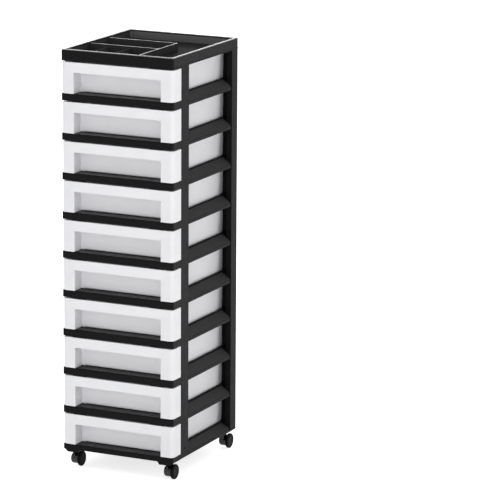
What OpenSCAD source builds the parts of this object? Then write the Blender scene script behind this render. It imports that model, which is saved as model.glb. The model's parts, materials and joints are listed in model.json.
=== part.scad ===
// A rolling tower of ten shallow drawers under an organizer tray.
// +Z is up and the drawers open towards -Y. The origin is on the floor, under the middle of the tower.

/* [Tower] */
// Width of the tower
tower_w = 306; // [290:2:330]
// Depth of the tower
tower_d = 360; // [350:2:390]
// Height of one drawer level, from deck to deck
level_h = 98.5; // [96:0.5:108]
// Height of the base deck above the floor
base_z = 60; // [60:1:68]

/* [Shelves] */
// Thickness of a shelf's deck
deck_t = 2.5; // [2:0.1:3]
// Thickness of the rails and skirts
skirt_t = 2.5; // [2:0.1:3]
// Height of a shelf's rail and skirts
rail_h = 17.5; // [16:0.5:19]
// Height of the base's thinner rail and skirts
base_rail_h = 13; // [12:0.5:13.5]
// Radius of the rail's upper front edge
rail_edge_r = 4; // [3:0.5:5]
// Radius of the shelf's vertical front corners
front_corner_r = 3.5; // [3.2:0.1:5]
// Radius of the shelf's corners in front of the rear posts
rear_corner_r = 8; // [4:0.5:10]
// Height of the stiffening ribs under the deck
rib_h = 8; // [5:0.5:9]
// Thickness of the stiffening ribs
rib_t = 2; // [1.5:0.1:2.5]
// Height of the crests that keep a drawer straight, above the deck
crest_h = 2.6; // [1:0.1:2.8]
// Distance of a crest from the shelf's side
crest_inset = 28; // [25:0.5:28.5]
// Height of the upright edge below the sloped sides
side_edge_h = 7; // [5:0.5:8]
// Distance of the outer lengthwise ribs from the middle, under the deck
long_rib_x = 61; // [45:1:75]
// Height of the bead along the deck's rear edge
lip_h = 2.5; // [1.5:0.1:2.8]
// Length of the small tabs under the rail
tab_h = 2; // [1:0.1:2.2]
// Width of the small tabs
tab_w = 38; // [30:1:44]
// Distance of a tab from the tower's side
tab_inset = 27; // [24:1:40]

/* [Posts] */
// Wall thickness of the posts
post_t = 2.5; // [2:0.1:3]
// Width of a front post along the tower's side
post_w = 40; // [36:1:44]
// Depth of the front posts' channels
post_depth = 20; // [17:0.5:21]
// Distance of a front post from the tower's front
post_y = 44; // [42.6:0.2:48]
// Width of a rear post along the tower's side
rear_post_w = 36; // [32:1:40]
// Depth of the rear posts' channels
rear_post_depth = 14.5; // [13:0.5:17]
// Width of a rear post along the tower's back
rear_post_back_w = 48; // [36:1:56]
// Radius of a rear post's outer corner
rear_post_r = 7; // [4:0.5:10]
// Thickness of the seats that carry the shelves
seat_t = 3; // [2:0.5:5]
// Size of the square snap window near a front post's foot
snap_w = 5; // [4:0.5:6]
// Height of the snap window above the base deck
snap_z = 8; // [6:1:14]
// Diameter of the peg on a post's top
peg_d = 8; // [6:0.5:10]
// Height of the peg on a post's top
peg_h = 2.8; // [2:0.1:3]
// Distance of a rear post's peg from the tower's side and back
rear_peg_inset = 14; // [13:0.5:16]
// Height and depth of the cut at a rear post's foot
foot_cut = 9; // [5:0.5:11]

/* [Drawers] */
// Wall thickness of a drawer
drawer_t = 1.9; // [1.6:0.1:2.3]
// Height of a drawer's front
front_h = 78.2; // [76:0.1:78.6]
// Depth of the front's hollow frame
front_d = 42.5; // [38:0.5:42.5]
// Width of the columns at both ends of the front
column_w = 34; // [30:1:38]
// Height of the band that serves as the handle
band_h = 25.5; // [22:0.5:30]
// Depth of the finger recess
recess_d = 35; // [30:1:36]
// Radius of the front's outer corners
column_r = 10; // [6:0.5:14]
// Width of the tub at its rim
tub_w = 240; // [230:1:242]
// Height of the tub's rim above the deck
tub_h = 72; // [68:0.5:74]
// Distance of the tub's back from the tower's back
tub_setback = 8; // [6:0.5:10]
// Radius along the tub's bottom edges
tub_edge_r = 8; // [6:0.5:14]
// Radius of the tub's upright rear corners
tub_corner_r = 14; // [10:0.5:18]
// Draft of the tub's walls, in degrees
tub_draft = 4; // [1:0.5:5]
// Overhang of the tub's rim
rim_w = 3; // [2:0.1:3.5]
// Thickness of the tub's rim
rim_t = 2.2; // [1.8:0.1:3]
// Reach of the stop ears above the rail's lower edge
ear_catch = 2; // [1.5:0.1:2.2]
// Width of a stop ear
ear_w = 22; // [16:1:28]

/* [Organizer] */
// Height of the organizer's outer wall
fascia_h = 27.5; // [26:0.5:34]
// Thickness of the tray's floor
tray_t = 2.2; // [2:0.1:2.4]
// Width of the organizer's rim
tray_rim_w = 8; // [7:0.5:10]
// Radius along the rim's outer edge
tray_edge_r = 4; // [3:0.5:5]
// Thickness of the dividers
divider_t = 2.6; // [2:0.1:3.5]
// Drop of the tall dividers below the rim
divider_drop = 3; // [2:0.5:6]
// Drop of the short dividers below the rim
short_drop = 8; // [6:0.5:12]
// Distance of the rear divider from the front
divider_rear_y = 227; // [215:1:240]
// Distance of the middle divider from the front
divider_mid_y = 130; // [115:1:145]
// Distance of the long divider from the left side
divider_long_x = 200; // [185:1:215]
// Distance of the first short divider from the left side
short_1_x = 61; // [50:1:75]
// Distance of the second short divider from the left side
short_2_x = 120; // [105:1:140]

/* [Casters] */
// Diameter of a wheel
wheel_d = 38; // [34:0.5:38.4]
// Width of a wheel
wheel_w = 6.5; // [5.5:0.5:9]
// Length of the barrel beside the wheel
barrel_l = 21.5; // [19:0.5:24]
// Diameter of the barrel
barrel_d = 28; // [24:0.5:30]
// Radius of the barrel's outer end
barrel_r = 5; // [2:0.5:7]
// Diameter of the axle
axle_d = 5; // [4:0.5:6]
// Diameter of the cap on the wheel
cap_d = 25; // [20:0.5:28]
// Diameter of the stem
stem_d = 8; // [7:0.5:9]
// Distance from the stem to the axle
trail = 6; // [4:0.5:9]
// Distance of a stem from the tower's side
caster_x = 23; // [22:0.5:30]
// Distance of a stem from the tower's front or back
caster_y = 31; // [30:0.5:36]
// Depth of the caster housings below the base's rail
housing_drop = 8; // [7:0.1:8.5]

/* [Hidden] */
LEVELS = 10;
CORNERS = ["front_left", "front_right", "rear_left", "rear_right"];
$fn = 64;

gap = 0.3;               // between pieces that slide or seat loosely
run_gap = 0.06;          // radial, between an axle or stem and what turns on it
eps = 1;                 // how far a cutter reaches past a surface
half_w = tower_w / 2;
top_z = base_z + level_h * LEVELS - rail_h + fascia_h;    // top of the organizer's rim
fascia_z = top_z - fascia_h;                              // lower edge of the organizer, top of the posts
base_bottom = base_z - base_rail_h;
stop_y = post_y - gap;   // rear face of the rib that stops the drawers, and front of the post's slot
post_back = post_y + post_w;
tub_back = tower_d - tub_setback;
rear_y = tower_d - rear_post_w;                           // front of the rear posts
shelf_back = tower_d - post_t - gap;                      // rear edge of the shelves, in front of the posts' flanges
housing_bottom = base_bottom - housing_drop;
caster_top = housing_bottom - 1.2;                        // underside of the stem's collar
wheel_r = wheel_d / 2;
barrel_x = 10;           // how far the barrel's outer end is from the stem
wheel_x = barrel_l - barrel_x + gap;                      // inner face of the wheel, from the stem
cap_t = 1.6;             // thickness of the wheel's cap
rear_seat_w = crest_inset - 10.5;                         // width of the rear posts' seats, clear of the crests
tray_z = fascia_z + ear_catch + 0.7;                      // underside of the tray's floor, clear of the drawer's ears
housing_in = 17;         // reach of a caster housing from the stem towards the tower's middle
housing_out = 12;        // reach of a caster housing from the stem towards the tower's side
housing_flare = 5;       // how far a housing widens towards the deck
rear_pad = rear_peg_inset + peg_d;                        // width of the organizer's pads over the rear posts
BLACK = [0.10, 0.10, 0.105];
WHITE = [0.93, 0.93, 0.93];
STEEL = [0.62, 0.63, 0.65];

// Points of an arc round [x, y] from angle a to angle b
function arc(x, y, r, a, b, n = 6) =
    [for (i = [0:n]) let (t = a + (b - a) * i / n) [x + r * cos(t), y + r * sin(t)]];

// Outline of one drafted wall, from the bottom's edge up to height z: its outer face is at x = top at height h
function wall_curve(top, h, r, draft, e, z) =
    let (
        run = (h - r + r * sin(draft)) / cos(draft),
        cx = top - r * cos(draft) - run * sin(draft),
        s = (z - r + (r - e) * sin(draft)) / cos(draft)
    )
    concat(
        arc(cx, r, r - e, -90, -draft, 7),
        [[cx + (r - e) * cos(draft) + s * sin(draft), z]]
    );

function flip(points) = [for (i = [len(points) - 1:-1:0]) [-points[i][0], points[i][1]]];
function shift(points, d) = [for (p = points) [p[0] + d, p[1]]];

// Places a piece modelled with its front at y = 0
module in_tower(z = 0) {
    translate([0, -tower_d / 2, z]) children();
}

module both_sides() {
    children();
    mirror([1, 0, 0]) children();
}

// A profile in x and z, pulled along y
module along_y(y0, y1) {
    translate([0, y1, 0]) rotate([90, 0, 0]) linear_extrude(y1 - y0) children();
}

// A profile in y and z, pulled along x
module along_x(x0, x1) {
    translate([x0, 0, 0]) rotate([90, 0, 90]) linear_extrude(x1 - x0) children();
}

// A rectangle with its own radii at the front and at the back
module soft_rect(w, y0, y1, r_front, r_back) {
    polygon(concat(
        arc(w - r_front, y0 + r_front, r_front, -90, 0, 6),
        arc(w - r_back, y1 - r_back, r_back, 0, 90, 9),
        arc(-w + r_back, y1 - r_back, r_back, 90, 180, 9),
        arc(-w + r_front, y0 + r_front, r_front, 180, 270, 6)
    ));
}

// What rounding takes off the upper edge of a wall whose outer face is at u = 0 and whose top is at v = 0
module edge_cut(r) {
    polygon(concat([[-eps, eps], [-eps, -r], [0, -r]], arc(r, -r, r, 165, 90, 5), [[r, eps]]));
}

// ---- shelves and base -------------------------------------------------------------------------------------

// The slots for one front post's web and flanges, widened by e on every side
module front_slots(e) {
    web_x = half_w - post_t - gap - e;
    translate([web_x, post_y - gap - e]) square([post_t + gap + e + eps, post_w + 2 * (gap + e)]);
    for (y = [post_y, post_back - post_t])
        translate([half_w - post_depth - gap - e, y - gap - e])
            square([post_depth + gap + e + eps, post_t + 2 * (gap + e)]);
}

// The shelf's outline, drawn in by e, with a tongue inside each rear post's channel
module shelf_plan(e = 0) {
    tail_w = half_w - rear_post_depth - gap - e;
    difference() {
        soft_rect(half_w - e, e, rear_y - gap - e, front_corner_r - e, rear_corner_r - e);
        both_sides() front_slots(e);
    }
    translate([-tail_w, post_back + post_t]) square([2 * tail_w, shelf_back - e - post_back - post_t]);
    soft_rect(half_w - post_t - gap - e, rear_y + post_t + gap + e, shelf_back - e, 0.5, rear_post_r - post_t - gap - e);
}

// Section of a shelf behind its front posts: a deck between two crests, whose outer sides slope down to upright
// edges. It is drawn in by e, has its deck at height top and is open below.
module sloped_section(h, e, top, low) {
    crest_x = half_w - crest_inset;
    crest_in = crest_x - 2 * skirt_t;
    fall = atan2(crest_h + h - side_edge_h, crest_inset);
    edge_z = crest_h - (crest_inset - e) * tan(fall) - e / cos(fall);
    right = [
        [half_w - e, low],
        [half_w - e, edge_z],
        [crest_x - e * tan(fall / 2), crest_h - e],
        [crest_in + e, crest_h - e],
        [crest_in + e, top]
    ];
    polygon(concat(right, flip(right)));
}

// The shelf's outer form down to height low, drawn in by e, with its deck at height top
module shelf_form(h, e, top, low) {
    slope_y = post_back + gap + e;
    intersection() {
        translate([0, 0, low]) linear_extrude(crest_h + eps - low) shelf_plan(e);
        union() {
            along_y(-eps, slope_y) translate([-half_w, low]) square([tower_w, top - low]);
            along_y(slope_y - eps, tower_d) sloped_section(h, e, top, low);
        }
    }
}

module deck_ribs(h) {
    rib_back = shelf_back - skirt_t;
    intersection() {
        shelf_form(h, skirt_t / 2, -deck_t / 2, -h);
        union() {
            translate([-half_w, stop_y - skirt_t, -h]) cube([tower_w, skirt_t, h]);
            for (x = [-long_rib_x, 0, long_rib_x])
                translate([x - rib_t / 2, stop_y - skirt_t / 2, -rib_h])
                    cube([rib_t, rib_back - stop_y, rib_h]);
            for (share = [1, 2])
                translate([-half_w, stop_y + share * (rib_back - stop_y) / 3, -rib_h])
                    cube([tower_w, rib_t, rib_h]);
        }
    }
}

// Deck, rail, sides and ribs, with the deck's upper face at z = 0
module shelf_shell(h) {
    difference() {
        shelf_form(h, 0, 0, -h);
        shelf_form(h, skirt_t, -deck_t, -h - eps);
        along_x(-half_w - eps, half_w + eps) edge_cut(rail_edge_r);
    }
    deck_ribs(h);
}

// Bead on the deck behind the drawer, between the rear posts
module rear_bead() {
    bead_w = half_w - rear_post_back_w - 4 * skirt_t;
    translate([-bead_w, tub_back + gap, -deck_t / 2]) cube([2 * bead_w, skirt_t, lip_h + deck_t / 2]);
}

// Tabs that hang under a rail's lower edge, at height z
module rail_tabs(z) {
    both_sides()
        translate([half_w - tab_inset - tab_w, 0, z - tab_h])
            cube([tab_w, skirt_t, tab_h + 2]);
}

module shelf(k) {
    color(BLACK) in_tower(base_z + k * level_h) {
        shelf_shell(rail_h);
        rear_bead();
        rail_tabs(-rail_h);
    }
}

// Section of a caster housing: a block under the deck that narrows below the rail
module housing_section() {
    inner = half_w - caster_x - housing_in;
    outer = half_w - caster_x + housing_out;
    side = half_w - skirt_t / 2;
    polygon([
        [inner - housing_flare, -deck_t / 2],
        [inner - housing_flare, -base_rail_h],
        [inner, -base_rail_h - housing_drop],
        [outer, -base_rail_h - housing_drop],
        [side, -base_rail_h],
        [side, -deck_t / 2]
    ]);
}

module base_frame() {
    socket_top = -deck_t;
    housing_front = caster_y + housing_in + housing_flare;
    housing_rear = tower_d - caster_y - housing_in - housing_out;
    color(BLACK) in_tower(base_z) difference() {
        union() {
            shelf_shell(base_rail_h);
            rear_bead();
            intersection() {
                both_sides() {
                    along_y(skirt_t, housing_front) housing_section();
                    along_y(housing_rear, shelf_back) housing_section();
                }
                shelf_form(base_rail_h, 0, 0, -base_rail_h - housing_drop);
            }
        }
        both_sides()
            for (y = [caster_y, tower_d - caster_y])
                translate([half_w - caster_x, y, -base_rail_h - housing_drop - eps])
                    cylinder(d = stem_d + gap, h = base_rail_h + housing_drop + eps + socket_top);
    }
}

// ---- posts ------------------------------------------------------------------------------------------------

// The heights of the shelves' lower edges above the floor
function seat_z() = [for (k = [1:LEVELS - 1]) base_z + k * level_h - rail_h];

// Seats under the shelves, the foot plate on the base and the top plate
module seats(cap_h) {
    for (z = seat_z())
        translate([0, 0, z - seat_t]) linear_extrude(seat_t) children();
    translate([0, 0, base_z]) linear_extrude(seat_t) children();
    translate([0, 0, fascia_z - cap_h]) linear_extrude(cap_h) children();
}

module front_post() {
    color(BLACK) in_tower() difference() {
        union() {
            translate([0, 0, base_bottom]) linear_extrude(fascia_z - base_bottom) difference() {
                translate([half_w - post_depth, post_y]) square([post_depth, post_w]);
                translate([half_w - post_depth - eps, post_y + post_t])
                    square([post_depth - post_t + eps, post_w - 2 * post_t]);
            }
            seats(seat_t)
                translate([half_w - post_depth, post_y + post_t / 2])
                    square([post_depth - post_t / 2, post_w - post_t]);
            translate([half_w - post_depth / 2, post_y + post_w / 2, fascia_z - seat_t])
                cylinder(d = peg_d, h = seat_t + peg_h);
        }
        translate([half_w - post_t - eps, post_y + (post_w - snap_w) / 2, base_z + snap_z])
            cube([post_t + 2 * eps, snap_w, snap_w]);
    }
}

// Plan of a rear post's channel, drawn in by e and open at reach from the tower's side
module rear_channel(e, reach) {
    polygon(concat(
        [[half_w - reach, rear_y + e], [half_w - e, rear_y + e]],
        arc(half_w - rear_post_r, tower_d - rear_post_r, rear_post_r - e, 0, 90, 7),
        [[half_w - reach, tower_d - e]]
    ));
}

module rear_post() {
    color(BLACK) in_tower() difference() {
        union() {
            translate([0, 0, base_bottom]) linear_extrude(fascia_z - base_bottom) {
                difference() {
                    rear_channel(0, rear_post_depth);
                    rear_channel(post_t, rear_post_depth + eps);
                }
                translate([half_w - rear_post_back_w, tower_d - post_t])
                    square([rear_post_back_w - rear_post_r, post_t]);
            }
            seats(seat_t) rear_channel(post_t / 2, rear_seat_w);
            translate([half_w - rear_peg_inset, tower_d - rear_peg_inset, fascia_z - seat_t])
                cylinder(d = peg_d, h = seat_t + peg_h);
        }
        // the foot is cut away towards the front
        along_x(half_w - rear_seat_w - eps, half_w + eps)
            polygon([
                [rear_y - eps, base_bottom - eps],
                [rear_y + foot_cut, base_bottom - eps],
                [rear_y - eps, base_bottom + foot_cut]
            ]);
    }
}

// ---- drawers ----------------------------------------------------------------------------------------------

// The tub's solid shape, drawn in by e and reaching up to height z
module tub(e, z) {
    side = wall_curve(tub_w / 2, tub_h, tub_edge_r, tub_draft, e, z);
    back = shift(wall_curve(0, tub_h, tub_edge_r, tub_draft, e, z), tub_back);
    front = shift(flip(wall_curve(0, tub_h, 5, 0, e, z)), recess_d);
    intersection() {
        along_y(recess_d - eps, tub_back + eps) polygon(concat(side, flip(side)));
        along_x(-tub_w, tub_w) polygon(concat(back, front));
        linear_extrude(z) soft_rect(tub_w / 2 - e, recess_d + e, tub_back - e, 3, tub_corner_r - e);
    }
}

// The hollow frame round the finger recess: columns, band, top flange and recess cheeks
module drawer_front() {
    cheek_x = half_w - column_w;
    foot = gap;
    difference() {
        translate([0, 0, foot]) linear_extrude(front_h - foot) soft_rect(half_w, 0, front_d, column_r, 0.4);
        translate([0, 0, -eps]) linear_extrude(front_h - drawer_t + eps)
            soft_rect(half_w - drawer_t, drawer_t, front_d + eps, column_r - drawer_t, 0.4);
        translate([-cheek_x, -eps, -eps]) cube([2 * cheek_x, drawer_t + 2 * eps, front_h - band_h + eps]);
        along_x(-tower_w, tower_w) translate([0, front_h]) edge_cut(1.2);
    }
    both_sides()
        translate([cheek_x, 0.8, foot]) cube([drawer_t, recess_d + drawer_t - 0.8, front_h - drawer_t / 2 - foot]);
    translate([-cheek_x - drawer_t, recess_d, tub_h / 2])
        cube([2 * (cheek_x + drawer_t), drawer_t, front_h - drawer_t / 2 - tub_h / 2]);
}

// An upright ear behind the tub's rim, which meets the stop rib when the drawer is pulled out
module stop_ear() {
    ear_top = level_h - rail_h + ear_catch;
    along_x(-ear_w / 2, ear_w / 2)
        polygon([
            [tub_back - drawer_t, tub_h - rim_t],
            [tub_back - drawer_t, ear_top],
            [tub_back, ear_top],
            [tub_back + rim_w, tub_h - rim_t]
        ]);
}

module drawer(k) {
    color(WHITE) in_tower(base_z + (k - 1) * level_h) {
        difference() {
            union() {
                translate([0, 0, gap]) tub(0, tub_h - gap);
                translate([0, 0, tub_h - rim_t]) linear_extrude(rim_t)
                    soft_rect(tub_w / 2 + rim_w, recess_d, tub_back + rim_w, 3, tub_corner_r + rim_w);
            }
            translate([0, 0, gap]) tub(drawer_t, level_h);
        }
        drawer_front();
        both_sides() translate([tub_w / 4, 0, 0]) stop_ear();
    }
}

// ---- organizer --------------------------------------------------------------------------------------------

module tray_divider(x0, x1, y0, y1, drop) {
    translate([x0, y0, tray_z]) cube([x1 - x0, y1 - y0, top_z - drop - tray_z]);
}

module organizer_top() {
    wall = tray_rim_w;
    left = -half_w;
    t = divider_t;
    color(BLACK) in_tower() difference() {
        union() {
            difference() {
                intersection() {
                    translate([0, 0, fascia_z])
                        linear_extrude(fascia_h) soft_rect(half_w, 0, tower_d, front_corner_r, rear_post_r);
                    along_y(-eps, tower_d + eps) difference() {
                        translate([-half_w, fascia_z]) square([tower_w, fascia_h]);
                        for (s = [0, 1]) mirror([s, 0]) translate([-half_w, top_z]) edge_cut(tray_edge_r);
                    }
                    along_x(-half_w - eps, half_w + eps) difference() {
                        translate([0, fascia_z]) square([tower_d, fascia_h]);
                        translate([0, top_z]) edge_cut(tray_edge_r);
                        translate([tower_d, top_z]) mirror([1, 0]) edge_cut(tray_edge_r);
                    }
                }
                // the tray
                translate([0, 0, tray_z + tray_t]) linear_extrude(fascia_h)
                    soft_rect(half_w - wall, wall, tower_d - wall, 4, 4);
                // the hollow under the floor and inside the outer wall
                translate([0, 0, fascia_z - eps]) linear_extrude(tray_z - fascia_z + eps)
                    soft_rect(half_w - skirt_t, skirt_t, tower_d - skirt_t, 1, rear_post_r - skirt_t);
            }
            // rib that stops the upper drawer
            translate([-half_w + skirt_t / 2, stop_y - skirt_t, fascia_z])
                cube([tower_w - skirt_t, skirt_t, tray_z - fascia_z + tray_t / 2]);
            rail_tabs(fascia_z);
            // pads over the posts
            both_sides() {
                translate([half_w - post_depth, post_y, fascia_z])
                    cube([post_depth - skirt_t / 2, post_w, tray_z - fascia_z + tray_t / 2]);
                translate([half_w - rear_pad, tower_d - rear_pad, fascia_z])
                    cube([rear_pad - skirt_t / 2, rear_pad - skirt_t / 2, tray_z - fascia_z + tray_t / 2]);
            }
            // dividers
            tray_divider(left + wall / 2, left + divider_long_x + t, divider_rear_y, divider_rear_y + t, divider_drop);
            tray_divider(left + wall / 2, left + divider_long_x, divider_mid_y, divider_mid_y + t, divider_drop);
            tray_divider(left + divider_long_x, left + divider_long_x + t, wall / 2, divider_rear_y, divider_drop);
            for (x = [short_1_x, short_2_x])
                tray_divider(left + x, left + x + t, wall / 2, divider_mid_y + t / 2, short_drop);
        }
        both_sides() {
            translate([half_w - post_depth / 2, post_y + post_w / 2, fascia_z - eps])
                cylinder(d = peg_d + 2 * gap, h = peg_h + gap + eps);
            translate([half_w - rear_peg_inset, tower_d - rear_peg_inset, fascia_z - eps])
                cylinder(d = peg_d + 2 * gap, h = peg_h + gap + eps);
        }
    }
}

// ---- casters ----------------------------------------------------------------------------------------------

// Carries a caster to its corner; its stem is on the z axis and its wheels trail towards -y
module at_corner(name) {
    side = (name == "front_left" || name == "rear_left") ? -1 : 1;
    back = (name == "rear_left" || name == "rear_right") ? 1 : 0;
    in_tower()
        translate([side * (half_w - caster_x), back ? tower_d - caster_y : caster_y, 0])
            mirror([0, back, 0]) children();
}

// Stem with a collar under the housing and a ring that grips the socket
module caster_stem(name) {
    low = wheel_r + axle_d;
    color(STEEL) at_corner(name) {
        translate([0, 0, low]) cylinder(d = stem_d, h = base_z - deck_t - gap - low);
        translate([0, 0, caster_top]) cylinder(d = stem_d + 6, h = housing_bottom - caster_top);
    }
}

// A round shape about the axle, with its profile in radius and distance from the stem
module about_axle() {
    translate([0, -trail, wheel_r]) rotate([90, 0, 90]) rotate_extrude() children();
}

// Hood: a barrel beside the wheel and a neck round the stem
module caster_hood(name) {
    top = caster_top - gap;
    neck_r = (stem_d + 8) / 2;
    r = barrel_d / 2;
    x0 = -barrel_x;
    x1 = barrel_l - barrel_x;
    color(BLACK) at_corner(name) difference() {
        union() {
            about_axle()
                polygon(concat(
                    [[0, x0]],
                    arc(r - barrel_r, x0 + barrel_r, barrel_r, -90, 0, 6),
                    [[r, x1 - 1], [r - 1, x1], [0, x1]]
                ));
            translate([0, 0, wheel_r + 1]) cylinder(r = neck_r, h = top - wheel_r - 1);
            // web from the neck to the front of the barrel
            along_x(-rib_t, rib_t)
                polygon(concat(
                    [[-trail, wheel_r + 2], [-trail - r + 2, wheel_r + 2]],
                    arc(-trail - r + 10, top - 9, 8, 180, 90, 6),
                    [[0, top - 1]]
                ));
        }
        translate([0, 0, wheel_r + axle_d - gap]) cylinder(d = stem_d + 2 * run_gap, h = top);
        translate([0, -trail, wheel_r]) rotate([0, 90, 0]) cylinder(d = axle_d, h = barrel_l);
    }
}

module caster_axle(name) {
    color(STEEL) at_corner(name)
        translate([0, -trail, wheel_r]) rotate([0, 90, 0]) cylinder(d = axle_d, h = wheel_x + wheel_w - cap_t - 1);
}

// Wheel with a rounded tread, a ring groove and a seat for its cap
module caster_wheel(name) {
    r = wheel_r;
    soft = 1.8;
    bore_r = axle_d / 2 + run_gap;
    bore_end = wheel_w - cap_t - 1 + gap;
    x = wheel_x;
    color(BLACK) at_corner(name) about_axle()
        polygon(concat(
            [[bore_r, x]],
            arc(r - soft, x + soft, soft, -90, 0, 4),
            arc(r - soft, x + wheel_w - soft, soft, 0, 90, 4),
            [
                [r - 3, x + wheel_w],
                [r - 3.8, x + wheel_w - 0.8],
                [cap_d / 2 + 1.2, x + wheel_w - 0.8],
                [cap_d / 2, x + wheel_w - 0.3],
                [cap_d / 2, x + wheel_w - cap_t],
                [0, x + wheel_w - cap_t],
                [0, x + bore_end],
                [bore_r, x + bore_end]
            ]
        ));
}

// Cap in the wheel's seat, with a shallow dish
module caster_cap(name) {
    r = cap_d / 2;
    x = wheel_x + wheel_w;
    color(BLACK) at_corner(name) about_axle()
        polygon([[0, x - cap_t], [r, x - cap_t], [r, x - 0.5], [r - 0.5, x], [5, x], [4, x - 0.6], [0, x - 0.6]]);
}

base_frame();
front_post();  // front_post_right
mirror([1, 0, 0]) front_post();  // front_post_left
rear_post();  // rear_post_right
mirror([1, 0, 0]) rear_post();  // rear_post_left
organizer_top();
for (k = [1:LEVELS - 1])
    shelf(k);
for (k = [1:LEVELS])
    drawer(k);
for (c = CORNERS) {
    caster_stem(c);
    caster_hood(c);
    caster_axle(c);
    caster_wheel(c);
    caster_cap(c);
}
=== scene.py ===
import json
import math

import bmesh
import bpy
from mathutils import Matrix, Vector

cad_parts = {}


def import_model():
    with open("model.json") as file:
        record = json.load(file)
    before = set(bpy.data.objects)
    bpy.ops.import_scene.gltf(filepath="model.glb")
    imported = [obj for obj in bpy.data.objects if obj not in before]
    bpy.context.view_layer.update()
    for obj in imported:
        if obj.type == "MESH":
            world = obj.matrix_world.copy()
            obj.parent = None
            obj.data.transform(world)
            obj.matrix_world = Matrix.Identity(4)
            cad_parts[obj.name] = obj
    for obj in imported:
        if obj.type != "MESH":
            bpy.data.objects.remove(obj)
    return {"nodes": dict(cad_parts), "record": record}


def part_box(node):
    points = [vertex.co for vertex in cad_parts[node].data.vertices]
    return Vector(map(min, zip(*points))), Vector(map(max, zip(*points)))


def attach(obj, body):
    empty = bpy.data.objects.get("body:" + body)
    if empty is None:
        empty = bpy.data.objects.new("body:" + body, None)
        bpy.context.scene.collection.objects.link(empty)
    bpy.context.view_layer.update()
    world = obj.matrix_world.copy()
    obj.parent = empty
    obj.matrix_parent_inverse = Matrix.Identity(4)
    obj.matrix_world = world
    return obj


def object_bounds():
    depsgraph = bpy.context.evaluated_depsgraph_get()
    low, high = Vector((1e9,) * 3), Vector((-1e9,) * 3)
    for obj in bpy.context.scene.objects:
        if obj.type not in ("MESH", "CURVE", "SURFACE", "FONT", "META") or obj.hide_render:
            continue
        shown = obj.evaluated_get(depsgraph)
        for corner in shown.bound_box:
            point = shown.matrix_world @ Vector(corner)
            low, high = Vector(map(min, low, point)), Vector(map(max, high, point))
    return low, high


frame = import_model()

CAD_BOX = [list(corner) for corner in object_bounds()]
NODES = frame["nodes"]
DRAWERS = sum(name.startswith("drawer_") for name in NODES)
MM = 0.001

SIDE_X = CAD_BOX[1][0]
FRONT_Y = CAD_BOX[0][1]
REAR_Y = CAD_BOX[1][1]
TOP_Z = CAD_BOX[1][2]

# Which finish each node takes, by the record's material slot
SLOTS = {s["node"]: s["material_slot"] for s in frame["record"]["subparts"]}

# Radius that the mould leaves on the edges of each kind of piece, in metres
EDGE_RADIUS = {
    "black_plastic": 0.6 * MM,
    "white_plastic": 0.7 * MM,
    "caster_plastic": 0.5 * MM,
    "wheel_plastic": 0.3 * MM,
    "steel": 0.2 * MM,
}

# Roughness of the black's three finishes
POLISHED = 0.30
MATT = 0.52
DULL = 0.85

# Painted light and shade on the black of the frame and of the tray: the palest grey, painted where
# light falls, and the share of it that faces keep where shade is painted
FRAME_PAINTED_LIGHT = 0.041
SIDE_SHARE = 0.20
DECK_SHARE = 0.12
TRAY_PAINTED_LIGHT = 0.14
TRAY_DIVIDER_SHARE = 0.26
TRAY_SIDE_SHARE = 0.33
TRAY_FLOOR_SHARE = 0.30

# Where the black's finish and its painted light and shade change, in metres
FACE_D = 4 * MM              # depth of the rails' and the organizer's polished front
STRIP_D = 43 * MM            # depth of a deck's polished front strip
SIDE_SKIN = 1.5 * MM         # what lies this near to the tower's side is the side
CREST_SHADE = 2.5 * MM       # width of the slopes' upper edge that is painted as dark and dull as the deck, a painted shadow line
FACE_SLACK = 0.4 * MM        # past the rear posts' front, so that faces flush with it are in
RIM_W = 5 * MM               # the organizer's inside starts this far from its outline
UNDER_RIM = 4 * MM           # and this far below its top
TRAY_DEPTH = 21.5 * MM       # lower than this is the tray's floor
REAR_WALL_W = 12 * MM        # nearer to the back than this is the tray's rear wall
RIM_EDGE_H = 1.6 * MM        # height of the rim's top edge, painted grey as a highlight
DIVIDER_TOP = 3.6 * MM       # the tall dividers' tops, painted grey as highlights, are above this
DIVIDER_END = 11 * MM        # and this far from the outline

# Sizes of a shelf's side rails, in metres, from the deck and from the tower's middle or front
CREST_H = 2.6 * MM           # height of the solids' crests
CREST_X = SIDE_X - 28 * MM   # outer edge of a crest
RAIL_H = 8.0 * MM            # height of the side rails on the crests
RAIL_T = 4.4 * MM            # width of a side rail's flat top
EDGE_DROP = 10.5 * MM        # upper end of a shelf's upright edge, below the deck
BASE_EDGE_DROP = 6.0 * MM    # the same on the base
RAIL_FRONT = 84.8 * MM       # back of the front posts, where the rails start
REAR_POST = 323.4 * MM       # front of the rear posts
REAR_CORNER_R = 8 * MM
TAIL_X = 137.9 * MM          # half the shelf's width between the rear posts
TAIL_END = 356 * MM

# Sizes of a drawer's front that its corner webs fit, in metres
CHEEK_X = 119 * MM           # inner face of the recess cheek, from the middle
RECESS_D = 35 * MM           # depth of the finger recess
TUB_SIDE = 120 * MM          # outer face of the tub's side, at the rim
TUB_H = 72 * MM              # height of the tub's rim above the deck
TUB_EDGE_R = 8 * MM          # radius along the tub's bottom edges
TUB_DRAFT = math.radians(4)
WEB_T = 1.6 * MM


# ---- materials ----------------------------------------------------------------------------------

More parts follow.
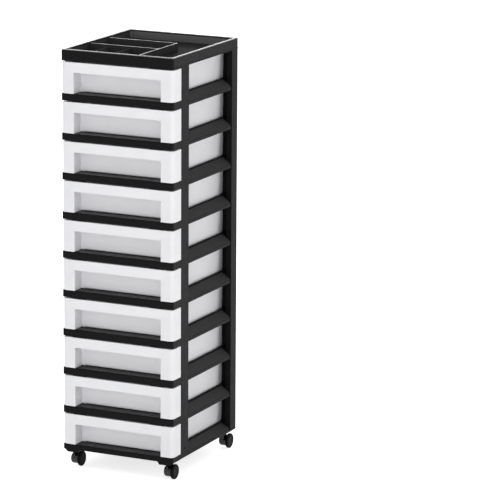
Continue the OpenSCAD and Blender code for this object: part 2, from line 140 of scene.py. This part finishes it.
class Shader:
    """A material with a Principled shader and short ways to add nodes to it."""

    def __init__(self, name, color, roughness, **sockets):
        self.material = bpy.data.materials.new(name)
        self.material.use_nodes = True
        self.tree = self.material.node_tree
        self.bsdf = self.tree.nodes["Principled BSDF"]
        self.bsdf.inputs["Base Color"].default_value = (*color, 1)
        self.bsdf.inputs["Roughness"].default_value = roughness
        for socket, value in sockets.items():
            self.bsdf.inputs[socket.replace("_", " ")].default_value = value

    def node(self, kind, **settings):
        node = self.tree.nodes.new(kind)
        for name, value in settings.items():
            setattr(node, name, value)
        return node

    def link(self, a, b):
        self.tree.links.new(a, b)

    def math(self, operation, a, b=None):
        """One Math node. Both a and b may be a number or a socket."""
        node = self.node("ShaderNodeMath", operation=operation)
        for socket, value in zip(node.inputs, (a, b)):
            if isinstance(value, (int, float)):
                socket.default_value = value
            elif value is not None:
                self.link(value, socket)
        return node.outputs[0]

    def product(self, a, b):
        return self.math("MULTIPLY", a, b)

    def above(self, value, limit):
        """1 where the value is greater than the limit, and 0 elsewhere."""
        return self.math("GREATER_THAN", value, limit)

    def below(self, value, limit):
        return self.math("LESS_THAN", value, limit)

    def within(self, value, limit):
        """1 where the value is between -limit and limit."""
        return self.below(self.math("ABSOLUTE", value), limit)

    def beyond(self, value, limit):
        """1 where the value is past limit or -limit."""
        return self.above(self.math("ABSOLUTE", value), limit)

    def either(self, a, b):
        return self.math("MAXIMUM", a, b)

    def dimmed(self, pale, where, share):
        """The mask pale, brought down to a share of itself where the mask where is 1."""
        return self.product(pale, self.spread(where, 1.0, share, 0, 1))

    def place(self):
        """The x, y and z of the surface, in the object's own frame."""
        split = self.node("ShaderNodeSeparateXYZ")
        self.link(self.node("ShaderNodeTexCoord").outputs["Object"], split.inputs[0])
        return split.outputs

    def noise(self, scale, detail=3.0, roughness=0.5):
        """Noise in the object's own coordinates, with scale in cycles a metre."""
        place = self.node("ShaderNodeTexCoord")
        noise = self.node("ShaderNodeTexNoise")
        noise.inputs["Scale"].default_value = scale
        noise.inputs["Detail"].default_value = detail
        noise.inputs["Roughness"].default_value = roughness
        self.link(place.outputs["Object"], noise.inputs["Vector"])
        return noise.outputs["Fac"]

    def spread(self, value, low, high, a=0.3, b=0.7):
        """Maps a value from a..b to low..high."""
        span = self.node("ShaderNodeMapRange")
        for socket, number in (("From Min", a), ("From Max", b), ("To Min", low), ("To Max", high)):
            span.inputs[socket].default_value = number
        self.link(value, span.inputs["Value"])
        return span.outputs["Result"]

    def blend(self, value, a, b):
        """A number between a and b, each a number or a socket, by a value from 0 to 1."""
        mix = self.node("ShaderNodeMix")
        self.link(value, mix.inputs["Factor"])
        for socket, end in (("A", a), ("B", b)):
            if isinstance(end, (int, float)):
                mix.inputs[socket].default_value = end
            else:
                self.link(end, mix.inputs[socket])
        return mix.outputs["Result"]

    def tint(self, value, dark, light):
        """Base colour between dark and light by a value from 0 to 1."""
        mix = self.node("ShaderNodeMix", data_type="RGBA")
        mix.inputs["A"].default_value = (*dark, 1)
        mix.inputs["B"].default_value = (*light, 1)
        self.link(value, mix.inputs["Factor"])
        self.link(mix.outputs["Result"], self.bsdf.inputs["Base Color"])

    def roughen(self, value):
        self.link(value, self.bsdf.inputs["Roughness"])

    def bump(self, height, depth, strength=1.0, under=None):
        """Bump of that depth in metres, on top of another bump where one is given."""
        bump = self.node("ShaderNodeBump")
        bump.inputs["Strength"].default_value = strength
        bump.inputs["Distance"].default_value = depth
        self.link(height, bump.inputs["Height"])
        if under is not None:
            self.link(under, bump.inputs["Normal"])
        self.link(bump.outputs["Normal"], self.bsdf.inputs["Normal"])
        return bump.outputs["Normal"]


def grey(value):
    """A neutral grey with a trace of blue."""
    return (value, value, value * 1.03)


def moulded_black(name, looks_of, palest):
    """Moulded black. looks_of gives its roughness, and how much of the palest grey it has, which is
    painted light.
    """
    s = Shader(name, grey(0.008), 0.3, Specular_IOR_Level=0.05)
    rough, pale = looks_of(s, *s.place())
    s.tint(pale, grey(0.0075), grey(palest))
    s.roughen(s.math("ADD", rough, s.spread(s.noise(60, detail=4), -0.05, 0.05)))
    waves = s.bump(s.noise(25, detail=2), depth=0.08 * MM, strength=0.3)
    s.bump(s.noise(2600, detail=2), depth=0.01 * MM, strength=0.4, under=waves)
    return s.material


def black_plastic():
    """The frame's black: polished rails and front strips, matt sides and slopes, and dull decks. The
    slopes are painted pale as light from above, the upright sides less so, and the decks are painted
    dark as shade.
    """
    def looks(s, x, y, z):
        side = s.beyond(x, SIDE_X - SIDE_SKIN)
        behind_face = s.above(y, FRONT_Y + FACE_D)
        behind_strip = s.above(y, FRONT_Y + STRIP_D)
        before_rear_post = s.below(y, FRONT_Y + REAR_POST + FACE_SLACK)
        # Painted light: this mask gives the slopes the palest grey and the upright sides a share of
        # it, besides the MATT roughness
        matt_and_painted_light = s.either(s.product(side, behind_face), s.product(behind_strip, before_rear_post))
        # Painted shade: the decks and the band below the crests are darker and dull
        deck = s.product(behind_strip, s.within(x, CREST_X + CREST_SHADE))
        rough = s.blend(deck, s.blend(matt_and_painted_light, POLISHED, MATT), DULL)
        return rough, s.dimmed(s.dimmed(matt_and_painted_light, side, SIDE_SHARE), deck, DECK_SHARE)
    return moulded_black("black_plastic", looks, FRAME_PAINTED_LIGHT)


def tray_plastic():
    """The organizer's black: a polished front, matt sides, a dull inside, and top edges painted grey
    as highlights. The rear wall inside is painted pale as light from above, the other walls, the sides
    and the floor darker as shade.
    """
    def looks(s, x, y, z):
        in_rim = s.product(s.within(x, SIDE_X - RIM_W), s.within(y, REAR_Y - RIM_W))
        under_rim = s.below(z, TOP_Z - UNDER_RIM)
        matt_and_painted_light = s.product(under_rim, s.above(y, FRONT_Y + FACE_D))
        inside = s.product(under_rim, in_rim)
        # Painted light and shade: the rear wall inside keeps the palest grey, while the other walls,
        # the sides and the floor are darker
        rear_wall = s.product(in_rim, s.above(y, REAR_Y - REAR_WALL_W))
        walls = s.dimmed(matt_and_painted_light, s.math("SUBTRACT", 1.0, rear_wall), TRAY_DIVIDER_SHARE)
        sides = s.dimmed(walls, s.beyond(x, SIDE_X - SIDE_SKIN), TRAY_SIDE_SHARE)
        pale = s.dimmed(sides, s.below(z, TOP_Z - TRAY_DEPTH), TRAY_FLOOR_SHARE)
        # Painted highlights: the rim's top edge and the tall dividers' tops get the palest grey and a
        # polished finish
        in_walls = s.product(s.within(x, SIDE_X - DIVIDER_END), s.within(y, REAR_Y - DIVIDER_END))
        divider_tops = s.product(s.above(z, TOP_Z - DIVIDER_TOP), in_walls)
        edges = s.either(s.above(z, TOP_Z - RIM_EDGE_H), divider_tops)
        rough = s.blend(inside, s.blend(matt_and_painted_light, POLISHED, MATT), DULL)
        return s.blend(edges, rough, POLISHED), s.either(pale, edges)
    return moulded_black("tray_plastic", looks, TRAY_PAINTED_LIGHT)


def white_plastic():
    """Translucent white: soft light inside the wall, faint flow marks, and a satin skin."""
    s = Shader("white_plastic", grey(0.82), 0.38, Specular_IOR_Level=0.35,
               Subsurface_Weight=0.35, Subsurface_Scale=5 * MM, Subsurface_Radius=(1, 1, 1))
    s.tint(s.spread(s.noise(18, detail=3, roughness=0.6), 0, 1), grey(0.80), grey(0.83))
    s.roughen(s.spread(s.noise(80, detail=4), 0.34, 0.43))
    waves = s.bump(s.noise(22, detail=2), depth=0.12 * MM, strength=0.35)
    s.bump(s.noise(1800, detail=2), depth=0.02 * MM, strength=0.4, under=waves)
    return s.material


def caster_black(name, base, roughness, rough_range, specular):
    """Fine-grained black of the casters, whose roughness wanders over rough_range."""
    s = Shader(name, grey(base), roughness, Specular_IOR_Level=specular)
    s.roughen(s.spread(s.noise(150, detail=4), *rough_range))
    s.bump(s.noise(2200, detail=2), depth=0.02 * MM, strength=0.5)
    return s.material


def caster_plastic():
    """The casters' hoods and barrels, which are glossy."""
    return caster_black("caster_plastic", 0.005, 0.15, (0.10, 0.18), specular=0.40)


def cap_plastic():
    """The wheels' outer caps, of a deeper black."""
    return caster_black("cap_plastic", 0.006, 0.3, (0.2, 0.3), specular=0.03)


def wheel_plastic():
    """Hard black nylon with the light scuffs of rolling."""
    s = Shader("wheel_plastic", grey(0.005), 0.3, Specular_IOR_Level=0.02)
    scuffs = s.noise(400, detail=6, roughness=0.7)
    s.tint(s.spread(scuffs, 0, 1, 0.55, 0.75), grey(0.004), (0.012, 0.0117, 0.0114))
    s.roughen(s.spread(scuffs, 0.22, 0.42))
    return s.material


def steel():
    """Plain zinc-plated rod."""
    s = Shader("steel", (0.55, 0.56, 0.58), 0.3, Metallic=1.0)
    s.roughen(s.spread(s.noise(500, detail=5), 0.22, 0.4))
    return s.material


MATERIALS = {
    "black_plastic": black_plastic(),
    "white_plastic": white_plastic(),
    "caster_plastic": caster_plastic(),
    "wheel_plastic": wheel_plastic(),
    "steel": steel(),
}
TRAY = tray_plastic()
CAP = cap_plastic()


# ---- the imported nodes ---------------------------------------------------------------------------

def soften(piece, radius):
    """Rounds a piece's edges and evens its normals, all by modifiers."""
    flat = piece.modifiers.new("merge_flat_faces", "DECIMATE")
    flat.decimate_type = "DISSOLVE"
    flat.angle_limit = math.radians(0.5)
    bevel = piece.modifiers.new("mould_radius", "BEVEL")
    bevel.width = radius
    bevel.segments = 2
    bevel.limit_method = "ANGLE"
    bevel.angle_limit = math.radians(35)
    bevel.miter_outer = "MITER_ARC"
    bevel.use_clamp_overlap = True
    normals = piece.modifiers.new("even_normals", "WEIGHTED_NORMAL")
    normals.keep_sharp = True


def smooth(piece):
    for polygon in piece.data.polygons:
        polygon.use_smooth = True


def material_of(name):
    """The material of a node, which has its slot's finish unless its piece has a finish of its own."""
    if name == "organizer_top":
        return TRAY
    if name.endswith("_cap"):
        return CAP
    return MATERIALS[SLOTS[name]]


def dress_nodes():
    for name, piece in NODES.items():
        slot = SLOTS[name]
        piece.data.materials.clear()
        piece.data.materials.append(material_of(name))
        smooth(piece)
        soften(piece, EDGE_RADIUS[slot])


# ---- the scene's own pieces ---------------------------------------------------------------------

def loft_faces(start, count, rings):
    """Faces of one closed solid, from its first point's index, through rings of count points."""
    faces = []
    for i in range(rings - 1):
        a = start + i * count
        for j in range(count):
            k = (j + 1) % count
            faces.append((a + j, a + k, a + count + k, a + count + j))
    last = start + (rings - 1) * count
    faces.append(tuple(range(start + count - 1, start - 1, -1)))
    faces.append(tuple(range(last, last + count)))
    return faces


def loft(name, solids, slot, body):
    """A piece of closed solids, each a list of rings of points. It rides on a body."""
    vertices = []
    faces = []
    for rings in solids:
        faces += loft_faces(len(vertices), len(rings[0]), len(rings))
        for ring in rings:
            vertices += ring
    mesh = bpy.data.meshes.new(name)
    mesh.from_pydata(vertices, [], faces)
    mesh.validate()
    shape = bmesh.new()
    shape.from_mesh(mesh)
    bmesh.ops.recalc_face_normals(shape, faces=shape.faces)
    shape.to_mesh(mesh)
    shape.free()
    mesh.materials.append(MATERIALS[slot])
    piece = bpy.data.objects.new(name, mesh)
    bpy.context.scene.collection.objects.link(piece)
    smooth(piece)
    soften(piece, EDGE_RADIUS[slot])
    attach(piece, body)


def mirrored(rings):
    """A solid and its mirror image at the tower's other side."""
    return [rings, [[(-x, y, z) for x, y, z in ring] for ring in rings]]


def slope_height(x, crest, drop):
    """Height above the deck of a slope from a crest down to the upright edge."""
    return crest + (x - CREST_X) * (-drop - crest) / (SIDE_X - CREST_X)


def rail_section(outer, y, deck, drop):
    """Section of a side rail, from its flat top down the shelf's slope to x = outer."""
    bite = 0.3 * MM
    ease = 1 * MM
    inner = CREST_X - RAIL_T
    points = [
        (inner, CREST_H - 2 * bite),
        (inner, RAIL_H),
        (CREST_X - ease, RAIL_H),
        (CREST_X + 0.6 * ease, RAIL_H - 0.8 * ease),
        (outer, slope_height(outer, RAIL_H, drop)),
        (outer, slope_height(outer, CREST_H, drop) - bite),
        (CREST_X, CREST_H - bite),
    ]
    return [(x, y, deck + z) for x, z in points]


def side_rails(node, drop):
    """The raised outer slopes of a shelf, with rounded ends in front of the rear posts."""
    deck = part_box(node)[1][2] - CREST_H
    wide = SIDE_X - 0.3 * MM
    past_arc = 0.05 * MM
    arc_steps = 6
    places = [(wide, RAIL_FRONT)]
    for step in range(arc_steps + 1):
        turn = math.pi / 2 * step / arc_steps
        x = wide - REAR_CORNER_R * (1 - math.cos(turn))
        places.append((x, REAR_POST - REAR_CORNER_R * (1 - math.sin(turn))))
    places += [(TAIL_X, REAR_POST + past_arc), (TAIL_X, TAIL_END)]
    rings = [rail_section(x, FRONT_Y + y, deck, drop) for x, y in places]
    loft(f"{node}_side_rails", mirrored(rings), "black_plastic", "frame")


def web_outline():
    """The gap between recess cheek and drafted tub, in x and z from the drawer's middle and deck."""
    low = 0.5 * MM
    bite = 0.3 * MM
    lip = 4 * MM
    arc_steps = 8
    run = (TUB_H - TUB_EDGE_R + TUB_EDGE_R * math.sin(TUB_DRAFT)) / math.cos(TUB_DRAFT)
    centre = TUB_SIDE - TUB_EDGE_R * math.cos(TUB_DRAFT) - run * math.sin(TUB_DRAFT)
    outer = CHEEK_X + 2 * bite
    meet = TUB_H - (TUB_SIDE - CHEEK_X) / math.tan(TUB_DRAFT)
    points = [(outer, low), (outer, meet + lip)]
    for step in range(arc_steps + 1):
        turn = -TUB_DRAFT - (math.pi / 2 - TUB_DRAFT) * step / arc_steps
        z = TUB_EDGE_R + (TUB_EDGE_R - bite) * math.sin(turn)
        points.append((centre + (TUB_EDGE_R - bite) * math.cos(turn), max(low, z)))
    return points


def corner_webs(drawer):
    """Two thin webs that close the recess beside the tub's drafted walls."""
    gap = 0.1 * MM
    lowest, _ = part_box(drawer)
    front = lowest[1] + RECESS_D + gap
    rings = [[(x, y, lowest[2] + z) for x, z in web_outline()] for y in (front, front + WEB_T)]
    loft(f"{drawer}_corner_webs", mirrored(rings), "white_plastic", drawer)


def own_pieces():
    for number in range(1, DRAWERS + 1):
        corner_webs(f"drawer_{number}")
    for number in range(1, DRAWERS):
        side_rails(f"shelf_{number}", EDGE_DROP)
    side_rails("base_frame", BASE_EDGE_DROP)


# ---- camera, light and floor --------------------------------------------------------------------

def place_in_scene(name, data, matrix):
    thing = bpy.data.objects.new(name, data)
    thing.matrix_world = matrix
    bpy.context.scene.collection.objects.link(thing)
    return thing


def camera():
    """The photograph's view: long lens, from the right front and a little above."""
    right = Vector((0.90276, 0.43011, 0.00652)).normalized()
    back = right.cross(Vector((-0.10091, 0.19702, 0.97520))).normalized()
    up = back.cross(right)
    turn = Matrix((right, up, back)).transposed().to_4x4()
    lens = bpy.data.cameras.new("camera")
    lens.sensor_width = 36
    lens.lens = 236.58
    lens.clip_end = 50
    place = Matrix.Translation((3.649, -7.112, 2.348))
    bpy.context.scene.camera = place_in_scene("camera", lens, place @ turn)


def backdrop_rays(tree):
    """1 for the rays that show the background: to the camera, in gloss and through glass."""
    path = tree.nodes.new("ShaderNodeLightPath")
    total = path.outputs["Is Camera Ray"]
    for name in ("Is Glossy Ray", "Is Transmission Ray"):
        more = tree.nodes.new("ShaderNodeMath")
        more.operation = "MAXIMUM"
        tree.links.new(total, more.inputs[0])
        tree.links.new(path.outputs[name], more.inputs[1])
        total = more.outputs[0]
    return total


def world(strength):
    """Even studio light. What the camera sees past the floor is white."""
    sky = bpy.data.worlds.new("studio")
    sky.use_nodes = True
    tree = sky.node_tree
    background = tree.nodes["Background"]
    level = tree.nodes.new("ShaderNodeMapRange")
    level.inputs["To Min"].default_value = strength
    level.inputs["To Max"].default_value = 1.0
    tree.links.new(backdrop_rays(tree), level.inputs["Value"])
    tree.links.new(level.outputs["Result"], background.inputs["Strength"])
    background.inputs["Color"].default_value = (1, 1, 1, 1)
    bpy.context.scene.world = sky


def softbox(name, place, target, size, power):
    """An area light aimed at a point, with its size in metres and its power in watts."""
    light = bpy.data.lights.new(name, "AREA")
    light.shape = "RECTANGLE"
    light.size, light.size_y = size
    light.energy = power
    aim = (Vector(target) - Vector(place)).to_track_quat("-Z", "Y")
    place_in_scene(name, light, Matrix.Translation(place) @ aim.to_matrix().to_4x4())


def floor(glow):
    """A pale floor that is white to the camera except where the tower shades it."""
    reach = 12.0
    corners = [(-reach, -reach, 0), (reach, -reach, 0), (reach, reach, 0), (-reach, reach, 0)]
    mesh = bpy.data.meshes.new("floor")
    mesh.from_pydata(corners, [], [(0, 1, 2, 3)])
    ground = place_in_scene("floor", mesh, Matrix.Identity(4))
    s = Shader("floor", (0.88, 0.88, 0.88), 0.9, Specular_IOR_Level=0.1)
    shine = s.node("ShaderNodeEmission")
    add = s.node("ShaderNodeAddShader")
    s.link(s.product(backdrop_rays(s.tree), glow), shine.inputs["Strength"])
    s.link(s.bsdf.outputs[0], add.inputs[0])
    s.link(shine.outputs[0], add.inputs[1])
    s.link(add.outputs[0], s.tree.nodes["Material Output"].inputs["Surface"])
    mesh.materials.append(s.material)


def studio():
    bpy.context.scene.view_settings.view_transform = "Standard"
    camera()
    world(strength=0.75)
    softbox("front_softbox", (1.5, -5.4, 0.9), (0, 0, 0.40), size=(3.2, 2.0), power=82)
    softbox("side_softbox", (5.0, 0.2, 1.1), (0, 0, 0.45), size=(3.0, 2.4), power=46)
    softbox("rim_softbox", (-2.0, 3.9, 2.1), (0, 0, 1.0), size=(2.2, 1.2), power=50)
    floor(glow=0.70)


dress_nodes()
own_pieces()
studio()
